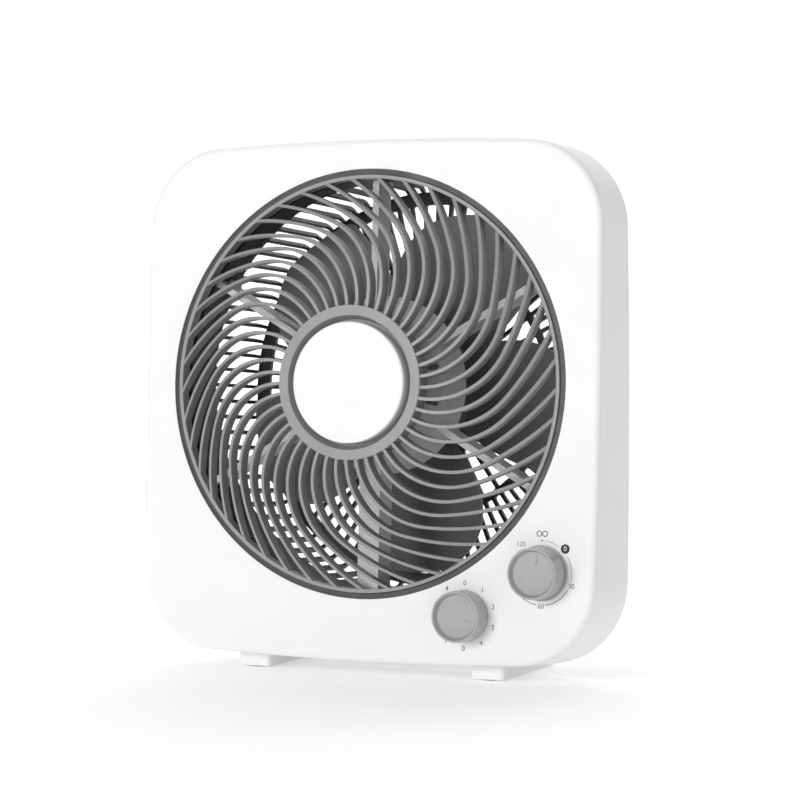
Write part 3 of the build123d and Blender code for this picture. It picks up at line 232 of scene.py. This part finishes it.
def prism(working, outline, low=0.0, high=INK):
    """A flat prism over a closed outline of (x, y) points."""
    bottom = [working.verts.new((x, y, low)) for x, y in outline]
    top = [working.verts.new((x, y, high)) for x, y in outline]
    working.faces.new(top)
    working.faces.new(list(reversed(bottom)))
    count = len(outline)
    for i in range(count):
        after = (i + 1) % count
        working.faces.new((bottom[i], bottom[after], top[after], top[i]))


def on_dial(radius, clockwise):
    """A point of a dial at a radius and a clock angle in degrees."""
    turn = math.radians(90 - clockwise)
    return (radius * math.cos(turn), radius * math.sin(turn))


def arc_strip(radius, width, start, end):
    """Builder of a printed arc from one clock angle to another."""
    def build(working):
        steps = max(4, int((end - start) / 2))
        angles = [start + (end - start) * i / steps for i in range(steps + 1)]
        outer = [on_dial(radius + width / 2, a) for a in angles]
        inner = [on_dial(radius - width / 2, a) for a in reversed(angles)]
        for i in range(steps):
            j = 2 * steps + 1 - i
            ring = outer + inner
            prism(working, [ring[i], ring[i + 1], ring[j - 1], ring[j]])
    return build


def spot(at, radius, hole=0.0):
    """Builder of a printed disc, or a ring when it has a hole."""
    def build(working):
        steps = 40
        turn = [2 * math.pi * i / steps for i in range(steps)]
        outer = [(at[0] + radius * math.cos(t), at[1] + radius * math.sin(t)) for t in turn]
        if not hole:
            prism(working, outer)
            return
        inner = [(at[0] + hole * math.cos(t), at[1] + hole * math.sin(t)) for t in turn]
        for i in range(steps):
            after = (i + 1) % steps
            prism(working, [outer[i], outer[after], inner[after], inner[i]])
    return build


def number(name, text, at, height, matrix, material, lift=0.0):
    """A generic dial number, printed upright on the face."""
    curve = bpy.data.curves.new(name, "FONT")
    curve.body = text
    curve.align_x = "CENTER"
    curve.align_y = "CENTER"
    curve.size = height * FONT_HEIGHT
    curve.extrude = INK / 2
    holder = bpy.data.objects.new(name + "_curve", curve)
    bpy.context.scene.collection.objects.link(holder)
    bpy.context.view_layer.update()
    mesh = bpy.data.meshes.new_from_object(holder)
    bpy.data.objects.remove(holder)
    shift = Matrix.Translation((at[0], at[1], INK / 2 + lift))
    mesh.transform(matrix @ Matrix.Diagonal((MM, MM, MM, 1)) @ shift)
    mesh.materials.clear()
    mesh.materials.append(material)
    obj = bpy.data.objects.new(name, mesh)
    bpy.context.scene.collection.objects.link(obj)
    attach(obj, "housing")
    return obj


SPEED_AT = JOINTS["speed_turn"]["pos_m"]
TIMER_AT = JOINTS["timer_turn"]["pos_m"]


def dial_matrix(pos):
    """The face plane round a knob."""
    offset = Vector(pos) - OPENING
    return fan_matrix(offset.x / MM, offset.dot(FACE_UP) / MM, FACE_LIFT)


SPEED_MARKS = 10
SPEED_LEVELS = 5       # off and four speeds, twice round the dial
SPEED_MARK_R = 21.6
SPEED_DIGIT = 3.3
TIMER_DIGIT = 3.2
TIMER_ARC_R = 21.1
TIMER_OFF = on_dial(22.9, 45)

speed_face = dial_matrix(SPEED_AT)
timer_face = dial_matrix(TIMER_AT)
for step in range(SPEED_MARKS):
    place = on_dial(SPEED_MARK_R, step * 360 / SPEED_MARKS)
    number(f"speed_mark_{step}", str(step % SPEED_LEVELS), place, SPEED_DIGIT, speed_face,
           PRINT_BLACK)

number("timer_30", "30", on_dial(22.2, 111), TIMER_DIGIT, timer_face, PRINT_GREY)
number("timer_60", "60", on_dial(21.9, 180), TIMER_DIGIT, timer_face, PRINT_GREY)
number("timer_120", "120", on_dial(23.4, 321), TIMER_DIGIT, timer_face, PRINT_GREY)
number("timer_zero", "0", TIMER_OFF, TIMER_DIGIT, timer_face, PRINT_WHITE, INK)
for name, build, ink in (
        ("timer_off_disc", spot(TIMER_OFF, 3.1), PRINT_BLACK),
        ("timer_top_dot", spot(on_dial(TIMER_ARC_R, 0), 0.55), PRINT_BLACK),
        ("timer_loop_left", spot((-2.0, 25.6), 2.0, 1.4), PRINT_GREY),
        ("timer_loop_right", spot((2.0, 25.6), 2.0, 1.4), PRINT_GREY),
        ("timer_arc_off", arc_strip(TIMER_ARC_R, 0.3, 6, 35), PRINT_LIGHT),
        ("timer_arc_30", arc_strip(TIMER_ARC_R, 0.35, 57, 104), PRINT_LIGHT),
        ("timer_arc_60", arc_strip(TIMER_ARC_R, 0.5, 120, 171), PRINT_GREY),
        ("timer_arc_120", arc_strip(TIMER_ARC_R, 0.5, 189, 311), PRINT_GREY)):
    piece(name, build, timer_face, ink, "housing")


# ---- floor, light, camera -------------------------------------------------------------------
FLOOR_NEAR = -6.0      # metres from the fan to the floor's front edge
FLOOR_FLAT = 2.5       # and to where the floor starts to curve up behind the fan
FLOOR_CURVE = 1.5
FLOOR_STEPS = 12
FLOOR_TOP = 7.0
FLOOR_HALF = 8.0
FLOOR_GAP = 0.0002     # keeps the floor's face apart from the pads'


def floor():
    """A pale floor that curves up into a backdrop behind the fan."""
    mesh = bpy.data.meshes.new("studio_floor")
    working = bmesh.new()
    profile = [(FLOOR_NEAR, 0.0), (FLOOR_FLAT, 0.0)]
    for i in range(1, FLOOR_STEPS + 1):
        turn = math.radians(90 * i / FLOOR_STEPS)
        profile.append((FLOOR_FLAT + FLOOR_CURVE * math.sin(turn),
                        FLOOR_CURVE - FLOOR_CURVE * math.cos(turn)))
    profile.append((FLOOR_FLAT + FLOOR_CURVE, FLOOR_TOP))
    rows = []
    for x in (-FLOOR_HALF, FLOOR_HALF):
        rows.append([working.verts.new((x, y, z - FLOOR_GAP)) for y, z in profile])
    for i in range(len(profile) - 1):
        working.faces.new((rows[0][i], rows[1][i], rows[1][i + 1], rows[0][i + 1]))
    working.to_mesh(mesh)
    working.free()
    for face in mesh.polygons:
        face.use_smooth = True
    nodes = Nodes("studio_floor")
    nodes.put(nodes.shader.inputs["Base Color"],
              nodes.blend(nodes.noise(1.5), (0.93, 0.93, 0.93), (0.96, 0.96, 0.96)))
    nodes.put(nodes.shader.inputs["Roughness"], 0.9)
    nodes.put(nodes.shader.inputs["Emission Color"], (1, 1, 1, 1))
    nodes.put(nodes.shader.inputs["Emission Strength"], 0.22)
    mesh.materials.append(nodes.material)
    obj = bpy.data.objects.new("studio_floor", mesh)
    obj.rotation_euler = (0, 0, math.radians(CAMERA_AZIMUTH))
    bpy.context.scene.collection.objects.link(obj)


def lamp(name, place, target, size, power):
    """A rectangular area lamp that looks at a target."""
    light = bpy.data.lights.new(name, "AREA")
    light.shape = "RECTANGLE"
    light.size, light.size_y = size
    light.energy = power
    obj = bpy.data.objects.new(name, light)
    obj.location = place
    obj.rotation_euler = (Vector(target) - Vector(place)).to_track_quat("-Z", "Y").to_euler()
    bpy.context.scene.collection.objects.link(obj)
    return obj


CAMERA_AZIMUTH = 24.268
CAMERA_ELEVATION = 1.635
CAMERA_DISTANCE = 1.70854     # from the opening's centre, metres
CAMERA_ASIDE = 0.0268
CAMERA_DOWN = 0.0108
LENS = 114.94                 # millimetres on a 36 mm sensor


def camera():
    turn = math.radians(CAMERA_AZIMUTH)
    rise = math.radians(CAMERA_ELEVATION)
    back = Vector((math.sin(turn) * math.cos(rise), -math.cos(turn) * math.cos(rise),
                   math.sin(rise)))
    data = bpy.data.cameras.new("camera")
    data.lens = LENS
    data.sensor_width = 36
    data.clip_start = 0.05
    obj = bpy.data.objects.new("camera", data)
    obj.location = OPENING + back * CAMERA_DISTANCE + Vector((CAMERA_ASIDE, 0, -CAMERA_DOWN))
    obj.rotation_euler = (-back).to_track_quat("-Z", "Y").to_euler()
    bpy.context.scene.collection.objects.link(obj)
    bpy.context.scene.camera = obj


def light():
    world = bpy.data.worlds.new("studio")
    bpy.context.scene.world = world
    world.use_nodes = True
    background = world.node_tree.nodes["Background"]
    background.inputs["Color"].default_value = (1, 1, 1, 1)
    background.inputs["Strength"].default_value = 0.27
    lamp("front_key", (-0.7, -2.9, 0.8), (0, 0, 0.17), (1.3, 1.1), 41)
    lamp("side_fill", (2.6, -0.9, 0.9), (0, 0, 0.15), (1.6, 1.4), 7)
    lamp("top_soft", (0.2, -0.3, 2.4), (0, 0, 0.1), (2.4, 2.0), 9)
    lamp("backdrop", (0, 2.0, 2.6), (-1.0, 3.0, 0.6), (5, 2), 90)
    bpy.context.scene.view_settings.view_transform = "Standard"


floor()
camera()
light()
